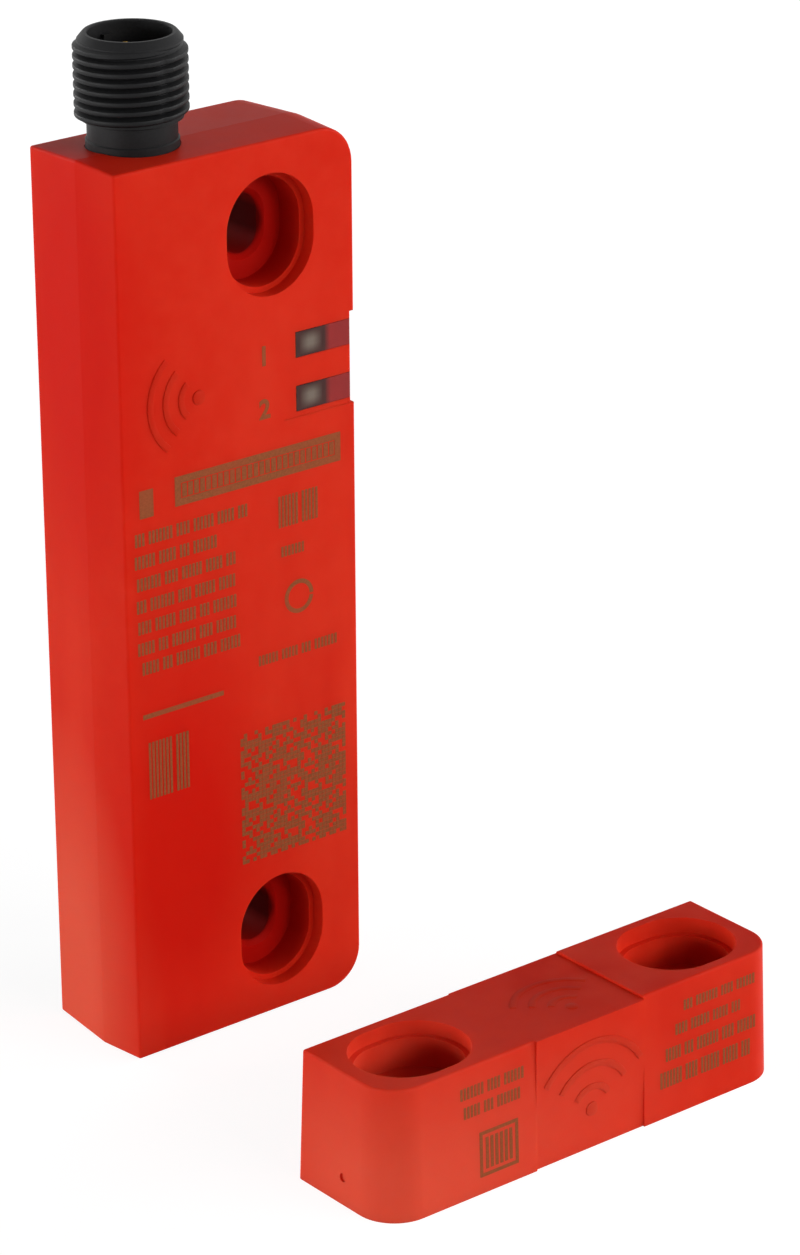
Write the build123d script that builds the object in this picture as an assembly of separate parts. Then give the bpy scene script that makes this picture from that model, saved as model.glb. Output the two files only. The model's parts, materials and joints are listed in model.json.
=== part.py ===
from build123d import *
from math import cos, radians, sin, tan
import os

# Read head and coded actuator of a safety switch, standing on one surface.
# Millimetres, +Z up. The read head's slot face looks along -Y, the actuator's slot face looks up.
# The origin is on the surface, in the middle of the pair's footprint.

# Read head case
reader_width = 31.5
reader_depth = 15.0
reader_length = 100.8
parting_depth = 6.25
draft_angle = 3.1
large_corner_radius = 4.6
back_corner_radius = 0.7
edge_radius = 0.3
wall = 2.0

# Stepped fixing slots, the same in both cases
slot_width = 4.8
slot_travel = 1.9
cap_recess_width = 11.4
cap_recess_depth = 1.6
cap_ledge = 0.65
counterbore_depth = 5.0
slot_edge_chamfer = 0.6
slot_floor = 1.9
pocket_wall = 1.4
sleeve_wall = 1.8

# Where the read head's slots are
reader_slot_bottom_distance = 10.0
reader_slot_top_distance = 10.5
reader_slot_side_distance = 11.35

# Window recess and light guides at the right edge
window_recess_length = 10.3
windows_below_top = 26.3
window_recess_depth = 0.5
window_pitch = 6.0
window_height = 2.8
window_front_length = 7.9
window_side_length = 5.2
window_clearance = 0.05
guide_stem_width = 3.0

# Threaded plug
plug_side_distance = 8.33
plug_front_distance = 7.6
shank_radius = 4.3
shank_clearance = 0.1
shank_length = 6.4
seat_recess_depth = 0.6
seat_flange_radius = 4.9
seat_flange_thickness = 1.3
neck_radius = 4.72
neck_height = 2.7
thread_radius = 5.97
thread_length = 8.1
thread_chamfer = 0.5
collar_radius = 5.5
collar_length = 1.05
rim_radius = 4.9
plug_bore_radius = 4.4
insert_radius = 3.4
insert_step_height = 3.2
insert_flange_thickness = 1.0
insert_clearance = 0.03
key_width = 1.0
key_depth = 0.55
key_below_rim = 1.2

# Plug contacts
contact_radius = 0.4
contact_circle_radius = 2.75
contact_ring_count = 7
contact_length = 5.8
contact_tip = 0.15

# Seal, nut and small board under the plug
seal_thickness = 1.0
seal_wall = 0.9
nut_radius = 5.3
nut_thickness = 2.0
nut_flat_distance = 4.95
plug_board_radius = 4.2
plug_board_thickness = 0.8
flex_width = 4.0
flex_thickness = 0.3
flex_overlap = 2.4

# Main board and what it carries
board_face_depth = 8.0
board_thickness = 1.0
board_side_clearance = 0.4
board_slot_clearance = 0.4
part_edge_distance = 2.5
front_part_gap = 5.0
back_part_gap = 3.0
chip_height = 1.2
small_part_height = 1.6
controller_size = 7.0
driver_width = 6.5
driver_length = 5.0
reader_chip_size = 5.0
regulator_width = 6.5
regulator_length = 3.6
crystal_width = 5.0
crystal_length = 3.2
capacitor_radius = 2.5
capacitor_height = 5.0
led_size = 2.0
led_height = 0.9
led_gap = 0.2

# Antenna behind the engraved waves
antenna_side_distance = 9.15
core_radius = 4.8
core_depth = 4.6
core_base = 1.0
core_rim = 0.8
core_post_radius = 1.5
bobbin_wall = 0.35
bobbin_clearance = 0.1
coil_clearance = 0.05

# Cast layers that close the cases
back_seal_thickness = 1.6
seal_recess = 0.4

# Coded actuator
actuator_length = 55.0
actuator_depth = 15.0
actuator_height = 15.0
actuator_draft_angle = 2.0
actuator_slot_end_distance = 9.0
middle_section_length = 15.0
middle_face_recess = 0.25
right_section_step = 0.3
gate_mark_radius = 0.5
gate_mark_height = 3.1
gate_mark_depth = 0.4

# Tag inside the actuator
tag_board_width = 14.0
tag_board_depth = 9.0
tag_board_thickness = 0.8
tag_chip_size = 1.8
tag_chip_height = 0.7
tag_chip_side = -5.4
tag_capacitor_size = 1.4
tag_capacitor_height = 0.8
tag_capacitor_side = 5.4
tag_core_radius = 1.6
tag_core_end_distance = 2.8
tag_core_height = 7.4
tag_tube_wall = 0.4
tag_coil_radius = 3.4
tag_coil_length = 6.0
tag_cheek_thickness = 0.8
tag_cheek_overhang = 0.4

# How the pair stands
pair_gap = 31.0
reader_step_in = 2.1

# Places worked out from the sizes above
set_depth = reader_depth + pair_gap + actuator_depth
reader_x = -actuator_length / 2 + reader_step_in + reader_width / 2
reader_y = set_depth / 2 - reader_depth
actuator_y = -set_depth / 2
front_inset = parting_depth * tan(radians(draft_angle))
rear_inset = (reader_depth - parting_depth) * tan(radians(draft_angle))
reader_left = -reader_width / 2
reader_right = reader_width / 2
slot_x = reader_right - reader_slot_side_distance
slot_heights = (reader_slot_bottom_distance, reader_length - reader_slot_top_distance)
reader_slot_spacing = slot_heights[1] - slot_heights[0]
actuator_slot_spacing = actuator_length - 2 * actuator_slot_end_distance
plug_x = reader_left + plug_side_distance
plug_y = plug_front_distance
plug_seat = reader_length - seat_recess_depth
case_inset = wall + rear_inset
cavity_top = reader_length - case_inset
antenna_x = reader_left + antenna_side_distance
antenna_height = reader_length - windows_below_top
window_heights = (antenna_height - window_pitch / 2, antenna_height + window_pitch / 2)
tag_core_length = actuator_depth - 2 * tag_core_end_distance
pocket_width = cap_recess_width + 2 * pocket_wall
pocket_end = counterbore_depth + slot_floor
sleeve_width = slot_width + 2 * sleeve_wall
counterbore_width = cap_recess_width - 2 * cap_ledge
back_seal_face = reader_depth - seal_recess
back_seal_front = back_seal_face - back_seal_thickness
shank_end = plug_seat - shank_length
plug_end = shank_end - plug_board_thickness
insert_step = reader_length + insert_step_height
insert_face = insert_step + insert_flange_thickness
rim_height = reader_length + neck_height + thread_length + collar_length
board_back_depth = board_face_depth + board_thickness


def facing_front(side, depth, height):
    """Plane through a point, which faces the way the read head's slot face looks."""
    return Plane((side, depth, height), x_dir=(1, 0, 0), z_dir=(0, -1, 0))


def front_plane(depth):
    """The same, on the case's middle line and at its foot."""
    return facing_front(0, depth, 0)


def block(x_range, y_range, z_range):
    """Rectangular block between three pairs of limits."""
    size = [high - low for low, high in (x_range, y_range, z_range)]
    middle = [(high + low) / 2 for low, high in (x_range, y_range, z_range)]
    return Pos(*middle) * Box(*size)


def centred(middle, size):
    """Low and high limit of a stretch with this middle and size."""
    return (middle - size / 2, middle + size / 2)


def disc(plane, radius, low, high):
    """Round bar on a plane, between two distances along its normal."""
    return extrude(plane.offset(low) * Circle(radius), amount=high - low)


def edges_at(shape, axis, position):
    """Edges of a solid that lie in the plane at this place along an axis."""
    return shape.edges().filter_by_position(axis, position - 0.001, position + 0.001)


# Read head case

def reader_slot_prism(width, near, far, height):
    """Upright slot of the read head, from one depth to another."""
    outline = SlotCenterToCenter(slot_travel, width, rotation=90)
    return extrude(front_plane(near) * Pos(slot_x, height) * outline, amount=near - far)


def slot_edge_outline(angle):
    """Front outline of the chamfer round a through slot."""
    return SlotCenterToCenter(slot_travel, slot_width + 2 * slot_edge_chamfer, rotation=angle)


def reader_slot_cut(height):
    """Cap recess, counterbore and through slot."""
    beyond = 1.0
    cut = reader_slot_prism(cap_recess_width, -beyond, cap_recess_depth, height)
    cut += reader_slot_prism(counterbore_width, cap_recess_depth, counterbore_depth, height)
    cut += reader_slot_prism(slot_width, counterbore_depth, reader_depth + beyond, height)
    edge = front_plane(counterbore_depth) * Pos(slot_x, height) * slot_edge_outline(90)
    return cut + extrude(edge, amount=-slot_edge_chamfer, taper=45)


def reader_block():
    """Solid outside form: two tapered halves that meet at the parting line."""
    middle = front_plane(parting_depth) * Pos(0, reader_length / 2)
    outline = Rectangle(reader_width, reader_length)
    outline = fillet(outline.vertices().group_by(Axis.X)[-1], large_corner_radius)
    front_half = extrude(middle * outline, amount=parting_depth, taper=draft_angle)
    rear_half = extrude(middle * outline, amount=parting_depth - reader_depth, taper=draft_angle)
    return front_half + rear_half


def left_corner_edges(shape):
    """Edges that run from front to back at the case's two sharp corners."""
    low, high = reader_left - 0.001, reader_left + front_inset + rear_inset
    corners = shape.edges().filter_by(lambda edge: low < edge.center().X < high)
    return corners.filter_by(lambda edge: abs(edge.tangent_at(0.5).Y) > 0.9)


def window_recess():
    """Shallow step in the right wall, along the windows."""
    low, high = centred(antenna_height, window_recess_length)
    beyond = 1.0
    outline = Polyline(
        (reader_right - front_inset - window_recess_depth, 0),
        (reader_right - window_recess_depth, parting_depth),
        (reader_right - rear_inset - window_recess_depth, reader_depth),
        (reader_right + beyond, reader_depth),
        (reader_right + beyond, 0),
        close=True,
    )
    return extrude(Plane.XY.offset(low) * make_face(outline), amount=high - low)


def window_cut(height, clearance):
    """Space of one light guide: a plate at the front and one round the right edge."""
    span = centred(height, window_height + 2 * clearance)
    left = reader_right - front_inset - window_front_length - clearance
    inner = reader_right - rear_inset - wall
    front_plate = block((left, reader_right), (0, wall), span)
    side_plate = block((inner, reader_right), (0, window_side_length + clearance), span)
    return front_plate + side_plate


def reader_cavity():
    """Space inside the case, open at the back, round the slot pockets and sleeves."""
    x_range = (reader_left + case_inset, reader_right - case_inset)
    space = block(x_range, (wall, reader_depth), (case_inset, cavity_top))
    for height in slot_heights:
        space -= reader_slot_prism(pocket_width, 0, pocket_end, height)
        space -= reader_slot_prism(sleeve_width, pocket_end, reader_depth, height)
    return space


def reader_shell():
    """The whole moulded case of the read head."""
    outside = reader_block() - window_recess()
    front_edges = edges_at(outside, Axis.Y, 0)
    back_edges = edges_at(outside, Axis.Y, reader_depth)
    outside = fillet(front_edges + back_edges + left_corner_edges(outside), edge_radius)
    shell = outside - reader_cavity()
    for height in slot_heights:
        shell -= reader_slot_cut(height)
    for height in window_heights:
        shell -= window_cut(height, window_clearance)
    shell -= disc(plug_axis_plane(0), shank_radius + shank_clearance, cavity_top - wall, reader_length)
    shell -= disc(plug_axis_plane(0), seat_flange_radius + shank_clearance, plug_seat, reader_length)
    shell -= disc(plug_axis_plane(0), nut_radius + shank_clearance, plug_end, cavity_top)
    return outside, shell


def light_guide(height, outside):
    """Smoked window with the stem that brings the lamp's light to it."""
    guide = window_cut(height, 0) & outside
    stem_left = reader_right - front_inset - window_front_length
    stem_end = board_face_depth - led_height - led_gap
    stem_limits = (stem_left, stem_left + guide_stem_width)
    return guide + block(stem_limits, (wall, stem_end), centred(height, window_height))


# Plug

def plug_axis_plane(height):
    """Level plane on the plug's axis."""
    return Plane((plug_x, plug_y, height))


def plug_body():
    """Plug body turned about its axis, with the key rib in its bore."""
    neck_top = reader_length + neck_height
    thread_top = neck_top + thread_length
    collar_end = thread_top + collar_length / 3
    profile = Polyline(
        (insert_radius, shank_end),
        (shank_radius, shank_end),
        (shank_radius, plug_seat),
        (seat_flange_radius, plug_seat),
        (seat_flange_radius, plug_seat + seat_flange_thickness),
        (neck_radius, plug_seat + seat_flange_thickness),
        (neck_radius, neck_top),
        (thread_radius - thread_chamfer, neck_top),
        (thread_radius, neck_top + thread_chamfer),
        (thread_radius, thread_top - thread_chamfer),
        (collar_radius, thread_top),
        (collar_radius, collar_end),
        (rim_radius, rim_height),
        (plug_bore_radius, rim_height),
        (plug_bore_radius, insert_step),
        (insert_radius, insert_step),
        close=True,
    )
    body = Pos(plug_x, plug_y, 0) * revolve(Plane.XZ * make_face(profile), Axis.Z)
    rib = block(
        centred(plug_x, key_width),
        (plug_y + plug_bore_radius - key_depth, plug_y + plug_bore_radius + 0.1),
        (insert_face, rim_height - key_below_rim),
    )
    return body + rib


def contact_places():
    """One contact in the middle and a ring of seven round it."""
    places = [(0, 0)]
    for index in range(contact_ring_count):
        angle = radians(90 + 360 / contact_ring_count * (index + 0.5))
        places.append((contact_circle_radius * cos(angle), contact_circle_radius * sin(angle)))
    return places


def contact_pin(place):
    """Round contact with a chamfered tip, down to the small board."""
    high = insert_face + contact_length
    pin = disc(plug_axis_plane(0), contact_radius, shank_end, high)
    pin = chamfer(edges_at(pin, Axis.Z, high), contact_tip)
    return Pos(place[0], place[1], 0) * pin


def contact_carrier(pins):
    """Moulded insert that holds the contacts."""
    body_radius = insert_radius - insert_clearance
    flange_radius = plug_bore_radius - insert_clearance
    carrier = disc(plug_axis_plane(0), body_radius, shank_end, insert_step)
    carrier += disc(plug_axis_plane(0), flange_radius, insert_step, insert_face)
    for pin in pins:
        carrier -= pin
    return carrier


def shank_ring(outer, low, high, clearance):
    """Ring round the plug's shank."""
    ring = disc(plug_axis_plane(0), outer, low, high)
    return ring - disc(plug_axis_plane(0), shank_radius + clearance, low, high)


def ring_nut():
    """Round nut on the shank with two spanner flats."""
    top = cavity_top - seal_thickness
    nut = shank_ring(nut_radius, top - nut_thickness, top, shank_clearance)
    x_range = centred(plug_x, 2 * nut_flat_distance)
    return nut & block(x_range, centred(plug_y, 2 * nut_radius), (top - nut_thickness, top))


def plug_board():
    """Small round board, soldered to the contacts' ends."""
    return disc(plug_axis_plane(0), plug_board_radius, plug_end, shank_end)


# Main board

board_low = slot_heights[0] + (pocket_width + slot_travel) / 2 + board_slot_clearance
board_high = slot_heights[1] - (pocket_width + slot_travel) / 2 - board_slot_clearance
board_left = reader_left + case_inset + board_side_clearance
board_right = reader_right - case_inset - board_side_clearance
left_column = board_left + part_edge_distance
right_column = board_right - part_edge_distance
controller_pitch = controller_size + front_part_gap
controller_tops = (
    antenna_height - core_radius - front_part_gap,
    antenna_height - core_radius - front_part_gap - controller_pitch,
)
crystal_top = controller_tops[1] - controller_pitch
reader_chip_top = antenna_height + reader_chip_size / 2
driver_top = reader_chip_top - reader_chip_size - back_part_gap
driver_pitch = driver_length + back_part_gap
driver_tops = (driver_top, driver_top - driver_pitch)
regulator_top = driver_tops[1] - driver_pitch
capacitor_height_up = board_low + part_edge_distance + capacitor_radius


def main_board():
    """Main circuit board, between the two slot pockets."""
    return block((board_left, board_right), (board_face_depth, board_back_depth), (board_low, board_high))


def on_board_front(x_range, top, length, thickness):
    """Part soldered on the board's front, hanging down from this height."""
    y_range = (board_face_depth - thickness, board_face_depth)
    return block(x_range, y_range, (top - length, top))


def on_board_back(x_range, top, length, thickness):
    """Part soldered on the board's back, hanging down from this height."""
    y_range = (board_back_depth, board_back_depth + thickness)
    return block(x_range, y_range, (top - length, top))


def lamp(height):
    """Lamp on the board behind a light guide's stem."""
    side = reader_right - front_inset - window_front_length + guide_stem_width / 2
    return on_board_front(centred(side, led_size), height + led_size / 2, led_size, led_height)


def flat_lead():
    """Flat lead from the small round board down to the main board's back."""
    y_range = (board_back_depth, board_back_depth + flex_thickness)
    return block(centred(plug_x, flex_width), y_range, (board_high - flex_overlap, plug_end))


def antenna_plane(depth):
    """Plane across the antenna's axis, this far behind the slot face."""
    return facing_front(antenna_x, depth, antenna_height)


def antenna_cup():
    """Ferrite cup with a middle post, open towards the front."""
    base = antenna_plane(board_face_depth)
    cup = disc(base, core_radius, 0, core_depth)
    cup -= disc(base, core_radius - core_rim, core_base, core_depth)
    return cup + disc(base, core_post_radius, core_base, core_depth)


def antenna_spool():
    """Spool that fits in the cup round its post."""
    bottom = antenna_plane(board_face_depth - core_base)
    height = core_depth - core_base
    inner = core_post_radius + bobbin_clearance
    outer = core_radius - core_rim - bobbin_clearance
    hub = inner + bobbin_wall
    spool = disc(bottom, outer, 0, bobbin_wall)
    spool += disc(bottom, hub, 0, height)
    spool += disc(bottom, outer, height - bobbin_wall, height)
    return spool - disc(bottom, inner, 0, height)


def antenna_winding():
    """Copper winding on the spool, as one ring."""
    bottom = antenna_plane(board_face_depth - core_base)
    low = bobbin_wall
    high = core_depth - core_base - bobbin_wall
    outer = core_radius - core_rim - bobbin_clearance - coil_clearance
    hub = core_post_radius + bobbin_clearance + bobbin_wall
    return disc(bottom, outer, low, high) - disc(bottom, hub, low, high)


# Coded actuator

def actuator_slot_prism(width, low, high, side):
    """Level slot of the actuator, from one height to another."""
    outline = SlotCenterToCenter(slot_travel, width)
    middle = Plane.XY.offset(low) * Pos(side, actuator_depth / 2)
    return extrude(middle * outline, amount=high - low)


def actuator_slot_cut(side):
    """Cap recess, counterbore and through slot, from the top down."""
    beyond = 1.0
    top = actuator_height
    cut = actuator_slot_prism(cap_recess_width, top - cap_recess_depth, top + beyond, side)
    cut += actuator_slot_prism(counterbore_width, top - counterbore_depth, top - cap_recess_depth, side)
    cut += actuator_slot_prism(slot_width, -beyond, top - counterbore_depth, side)
    edge = Plane.XY.offset(top - counterbore_depth) * Pos(side, actuator_depth / 2) * slot_edge_outline(0)
    return cut + extrude(edge, amount=-slot_edge_chamfer, taper=45)


def actuator_block(height):
    """Drafted outside form with round front corners and sharp back ones."""
    outline = Rectangle(actuator_length, actuator_depth)
    front = outline.vertices().group_by(Axis.Y)[0]
    outline = fillet(front, large_corner_radius)
    back = outline.vertices().group_by(Axis.Y)[-1]
    outline = fillet(back, back_corner_radius)
    base = Pos(0, actuator_depth / 2) * outline
    return extrude(base, amount=height, taper=actuator_draft_angle)


actuator_slot_sides = (-actuator_slot_spacing / 2, actuator_slot_spacing / 2)
middle_limits = centred(0, middle_section_length)
actuator_seal_top = seal_recess + back_seal_thickness
tag_board_top = actuator_seal_top + tag_board_thickness


def actuator_form():
    """End sections with drafted fronts, and the upright middle section between them."""
    lower = actuator_block(actuator_height)
    raised = actuator_block(actuator_height + right_section_step)
    beyond = 1.0
    whole_height = (-beyond, actuator_height + beyond)
    whole_depth = (-beyond, actuator_depth + beyond)
    half_length = actuator_length / 2 + beyond
    left = lower & block((-half_length, middle_limits[0]), whole_depth, whole_height)
    right = raised & block((middle_limits[1], half_length), whole_depth, whole_height)
    left = fillet(edges_at(left, Axis.Z, actuator_height).filter_by_position(
        Axis.X, -half_length, middle_limits[0] - 0.001), edge_radius)
    right = fillet(edges_at(right, Axis.Z, actuator_height + right_section_step).filter_by_position(
        Axis.X, middle_limits[1] + 0.001, half_length), edge_radius)
    middle = lower & block(middle_limits, (actuator_depth / 2, actuator_depth), whole_height)
    middle += block(middle_limits, (middle_face_recess, actuator_depth / 2), (0, actuator_height))
    return left + middle + right


def actuator_cavity():
    """Space inside the actuator, open underneath, round the slot pockets and sleeves."""
    inset = wall + actuator_height * tan(radians(actuator_draft_angle))
    x_range = centred(0, actuator_length - 2 * inset)
    y_range = (inset, actuator_depth - inset)
    end_roof = actuator_height - counterbore_depth - slot_floor
    space = block(x_range, y_range, (0, end_roof))
    space += block(middle_limits, y_range, (0, actuator_height - wall))
    for side in actuator_slot_sides:
        space -= actuator_slot_prism(pocket_width, end_roof, actuator_height, side)
        space -= actuator_slot_prism(sleeve_width, 0, end_roof, side)
    return space


def actuator_shell():
    """The whole moulded case of the actuator."""
    shell = actuator_form() - actuator_cavity()
    for side in actuator_slot_sides:
        shell -= actuator_slot_cut(side)
    end_face = Plane((-actuator_length / 2, actuator_depth / 2, gate_mark_height), z_dir=(1, 0, 0))
    return shell - disc(end_face, gate_mark_radius, 0, gate_mark_depth)


def level_tag_part(side, width, depth, low, high):
    """Part of the tag on or over its board, in the middle of the actuator's depth."""
    return block(centred(side, width), centred(actuator_depth / 2, depth), (low, high))


def tag_axis_bar(radius, length):
    """Round bar that points at the marked face, in the middle of the actuator."""
    middle = facing_front(0, actuator_depth / 2, tag_core_height)
    return disc(middle, radius, -length / 2, length / 2)


def tag_spool(core):
    """Spool on the tag's board: a tube round the core between two upright cheeks."""
    spool_length = tag_coil_length + 2 * tag_cheek_thickness
    cheek_width = 2 * (tag_coil_radius + tag_cheek_overhang)
    cheek_top = tag_core_height + tag_coil_radius + tag_cheek_overhang
    spool = level_tag_part(0, cheek_width, spool_length, tag_board_top, cheek_top)
    spool -= level_tag_part(0, cheek_width, tag_coil_length, tag_board_top, cheek_top)
    spool += tag_axis_bar(tag_core_radius + tag_tube_wall, spool_length)
    return spool - core


def tag_winding():
    """Copper winding between the spool's cheeks, as one ring."""
    ring = tag_axis_bar(tag_coil_radius, tag_coil_length)
    return ring - tag_axis_bar(tag_core_radius + tag_tube_wall, tag_coil_length)


# Making the read head's pieces

outside_form, reader_housing = reader_shell()
guides = [light_guide(height, outside_form) for height in window_heights]
pins = [contact_pin(place) for place in contact_places()]
seal_top = cavity_top
seal_low = seal_top - seal_thickness

reader_pieces = {
    "reader_housing": reader_housing,
    "light_guide_lower": guides[0],
    "light_guide_upper": guides[1],
    "connector_shell": plug_body(),
    "contact_insert": contact_carrier(pins),
    "connector_seal": shank_ring(shank_radius + seal_wall, seal_low, seal_top, 0),
    "connector_nut": ring_nut(),
    "connector_board": plug_board(),
    "flex_lead": flat_lead(),
    "circuit_board": main_board(),
    "antenna_core": antenna_cup(),
    "coil_bobbin": antenna_spool(),
    "antenna_coil": antenna_winding(),
    "led_lower": lamp(window_heights[0]),
    "led_upper": lamp(window_heights[1]),
}
for index, pin in enumerate(pins):
    reader_pieces[f"contact_pin_{index + 1}"] = pin
for letter, top in zip("ab", controller_tops):
    reader_pieces[f"controller_chip_{letter}"] = on_board_front(
        (left_column, left_column + controller_size), top, controller_size, chip_height)
for letter, top in zip("ab", driver_tops):
    reader_pieces[f"output_driver_{letter}"] = on_board_back(
        (right_column - driver_width, right_column), top, driver_length, small_part_height)
reader_pieces["reader_chip"] = on_board_back(
    (right_column - reader_chip_size, right_column), reader_chip_top, reader_chip_size, chip_height)
reader_pieces["voltage_regulator"] = on_board_back(
    (right_column - regulator_width, right_column), regulator_top, regulator_length, small_part_height)
reader_pieces["quartz_crystal"] = on_board_front(
    (left_column, left_column + crystal_width), crystal_top, crystal_length, chip_height)
capacitor_plane = facing_front(right_column - capacitor_radius, board_face_depth, capacitor_height_up)
reader_pieces["supply_capacitor"] = disc(capacitor_plane, capacitor_radius, 0, capacitor_height)

back_limits = (back_seal_front, back_seal_face)
seal_space = block((reader_left, reader_right), back_limits, (0, reader_length))
fill_space = block((reader_left, reader_right), (0, back_seal_front), (0, reader_length))
filling = reader_cavity() & fill_space
filling -= disc(plug_axis_plane(0), shank_radius + shank_clearance, shank_end, cavity_top)
filling -= disc(antenna_plane(board_face_depth), core_radius, 0, core_depth)
in_the_cup = ("antenna_core", "coil_bobbin", "antenna_coil")
for name, piece in reader_pieces.items():
    if name not in in_the_cup:
        filling -= piece
reader_pieces["reader_back_seal"] = reader_cavity() & seal_space
reader_pieces["reader_filling"] = filling

# Making the actuator's pieces

tag_core = tag_axis_bar(tag_core_radius, tag_core_length)
actuator_pieces = {
    "actuator_housing": actuator_shell(),
    "tag_board": level_tag_part(
        0, tag_board_width, tag_board_depth, actuator_seal_top, tag_board_top),
    "tag_chip": level_tag_part(
        tag_chip_side, tag_chip_size, tag_chip_size, tag_board_top, tag_board_top + tag_chip_height),
    "tag_capacitor": level_tag_part(
        tag_capacitor_side, tag_capacitor_size, tag_capacitor_size,
        tag_board_top, tag_board_top + tag_capacitor_height),
    "tag_core": tag_core,
    "tag_bobbin": tag_spool(tag_core),
    "tag_coil": tag_winding(),
}
actuator_limits = (-actuator_length, actuator_length)
depth_limits = (0, actuator_depth)
actuator_seal_space = block(actuator_limits, depth_limits, (seal_recess, actuator_seal_top))
actuator_fill_space = block(actuator_limits, depth_limits, (actuator_seal_top, actuator_height))
actuator_filling = actuator_cavity() & actuator_fill_space
for piece in actuator_pieces.values():
    actuator_filling -= piece
actuator_pieces["actuator_base_seal"] = actuator_cavity() & actuator_seal_space
actuator_pieces["actuator_filling"] = actuator_filling

# Placing and writing

os.makedirs("parts", exist_ok=True)
for name, piece in reader_pieces.items():
    export_step(Pos(reader_x, reader_y, 0) * piece, f"parts/{name}.step")
for name, piece in actuator_pieces.items():
    export_step(Pos(0, actuator_y, 0) * piece, f"parts/{name}.step")
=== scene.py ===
import json
import math

import bmesh
import bpy
from mathutils import Matrix, Vector


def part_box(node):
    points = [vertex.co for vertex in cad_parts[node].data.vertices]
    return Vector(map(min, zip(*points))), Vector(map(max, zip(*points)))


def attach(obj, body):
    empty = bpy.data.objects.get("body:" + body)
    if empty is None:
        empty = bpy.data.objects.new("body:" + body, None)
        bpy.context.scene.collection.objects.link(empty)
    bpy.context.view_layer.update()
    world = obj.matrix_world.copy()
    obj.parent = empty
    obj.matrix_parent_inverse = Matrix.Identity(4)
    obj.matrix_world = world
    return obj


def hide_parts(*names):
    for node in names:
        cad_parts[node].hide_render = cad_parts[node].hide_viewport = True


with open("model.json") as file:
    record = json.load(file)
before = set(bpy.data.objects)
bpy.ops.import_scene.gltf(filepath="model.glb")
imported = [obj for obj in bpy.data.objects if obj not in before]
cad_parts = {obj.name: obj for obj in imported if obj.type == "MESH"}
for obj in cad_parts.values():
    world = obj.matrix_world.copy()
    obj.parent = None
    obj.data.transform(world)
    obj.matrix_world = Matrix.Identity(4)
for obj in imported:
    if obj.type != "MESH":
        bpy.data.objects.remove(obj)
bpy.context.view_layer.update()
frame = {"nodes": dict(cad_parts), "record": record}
nodes = frame["nodes"]
scene = bpy.context.scene

# Sizes below are in millimetres, and become metres when a piece is finished
MM = 0.001


def corners_of(node):
    """Lowest and highest corner of a solid, in millimetres."""
    low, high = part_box(node)
    return low / MM, high / MM


# The solids that the new pieces sit on
case_low, case_high = corners_of("reader_housing")
plug_low, plug_high = corners_of("connector_shell")
actuator_low, actuator_high = corners_of("actuator_housing")
plug_axis = (plug_low + plug_high) / 2
guide_low, guide_high = corners_of("light_guide_upper")

# Plug, as radii round its axis
SHANK_RADIUS = 4.3
BORE_RADIUS = 4.4
INSERT_RADIUS = 3.4
FLANGE_RADIUS = 4.9
NECK_RADIUS = 4.72
COLLAR_RADIUS = 5.5
RIM_FOOT_RADIUS = 4.98
RIM_RADIUS = 4.84
EDGE_BREAK = 0.12
BORE_EDGE_DROP = 0.14
RING_STEPS = 96
KEY_WIDTH = 1.0
KEY_DEPTH = 0.55
KEY_SINK = 0.1

# Heights on the plug, above the case's top
SEAT_DROP = 0.6
FLANGE_RISE = 0.7
NECK_END_RISE = 2.6
BARREL_RISE = 2.85
RIDGE_RISE = 2.95
BARREL_END_RISE = 10.7
COLLAR_RISE = 10.85
COLLAR_END_RISE = 11.1
INSERT_STEP_RISE = 3.2
KEY_RISE = 4.2
KEY_BELOW_RIM = 1.2

# Thread: its ridge has a foot in the barrel, rounded shoulders and a narrow crest
THREAD_ROOT = 5.38
THREAD_CREST = 5.96
THREAD_PITCH = 1.0
THREAD_TURNS = 7.8
THREAD_FOOT_SINK = 0.3
THREAD_FOOT_HALF = 0.66
THREAD_SHOULDER_DROP = 0.05
THREAD_SHOULDER_HALF = 0.22
THREAD_CREST_HALF = 0.13
STEPS_PER_TURN = 72

# Where the thread dies away, in turns, and how low the parting line cuts its crest
FADE_TURNS = 0.3
FADE_MARGIN = 0.02
FADE_SINK = 0.1
PARTING_HALF = 0.45
PARTING_RISE = 0.38

# Windows
WINDOW_PITCH = 6.0

# How the painted sheen and shade patches of the moulded red are drawn out, upwards and along the actuator
UPRIGHT_FLOW = (1.0, 1.0, 0.4)
LEVEL_FLOW = (0.6, 1.0, 1.6)

# Axes of the read head's fixing slots, from its right side, foot and top
SLOT_SIDE = 11.35
SLOT_RISE = 10.0
SLOT_DROP = 10.5

# Painted shade in the slots: where it starts and is full below the face, and where it ends at the back
SLOT_FLOW = (1.0, 0.0, 0.85)
SLOT_SHADE_START = 1.0
SLOT_SHADE_FULL = 4.5
SLOT_SHADE_BACK_FULL = 1.0
SLOT_SHADE_BACK_END = 0.2

# Actuator's front and top
ACTUATOR_DRAFT = math.radians(2.0)
MIDDLE_RECESS = 0.25
SECTION_STEP = 0.3

# Raised signs
SIGN_HEIGHT = 0.12
FAINT_SIGN_HEIGHT = 0.06
SIGN_BAND = 0.75
SIGN_BEVEL = 0.05
SIGN_EDGE_ANGLE = 0.8
DOT_SEGMENTS = 40
ARC_STEP_DEGREES = 4
ARC_LEAST_STEPS = 6

# Raised line under the lower window, from the read head's left foot
BEAD_X = (21.6, 30.7)
BEAD_Z = (69.36, 69.52)
BEAD_HEIGHT = 0.06
BEAD_BEVEL = 0.03

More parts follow.
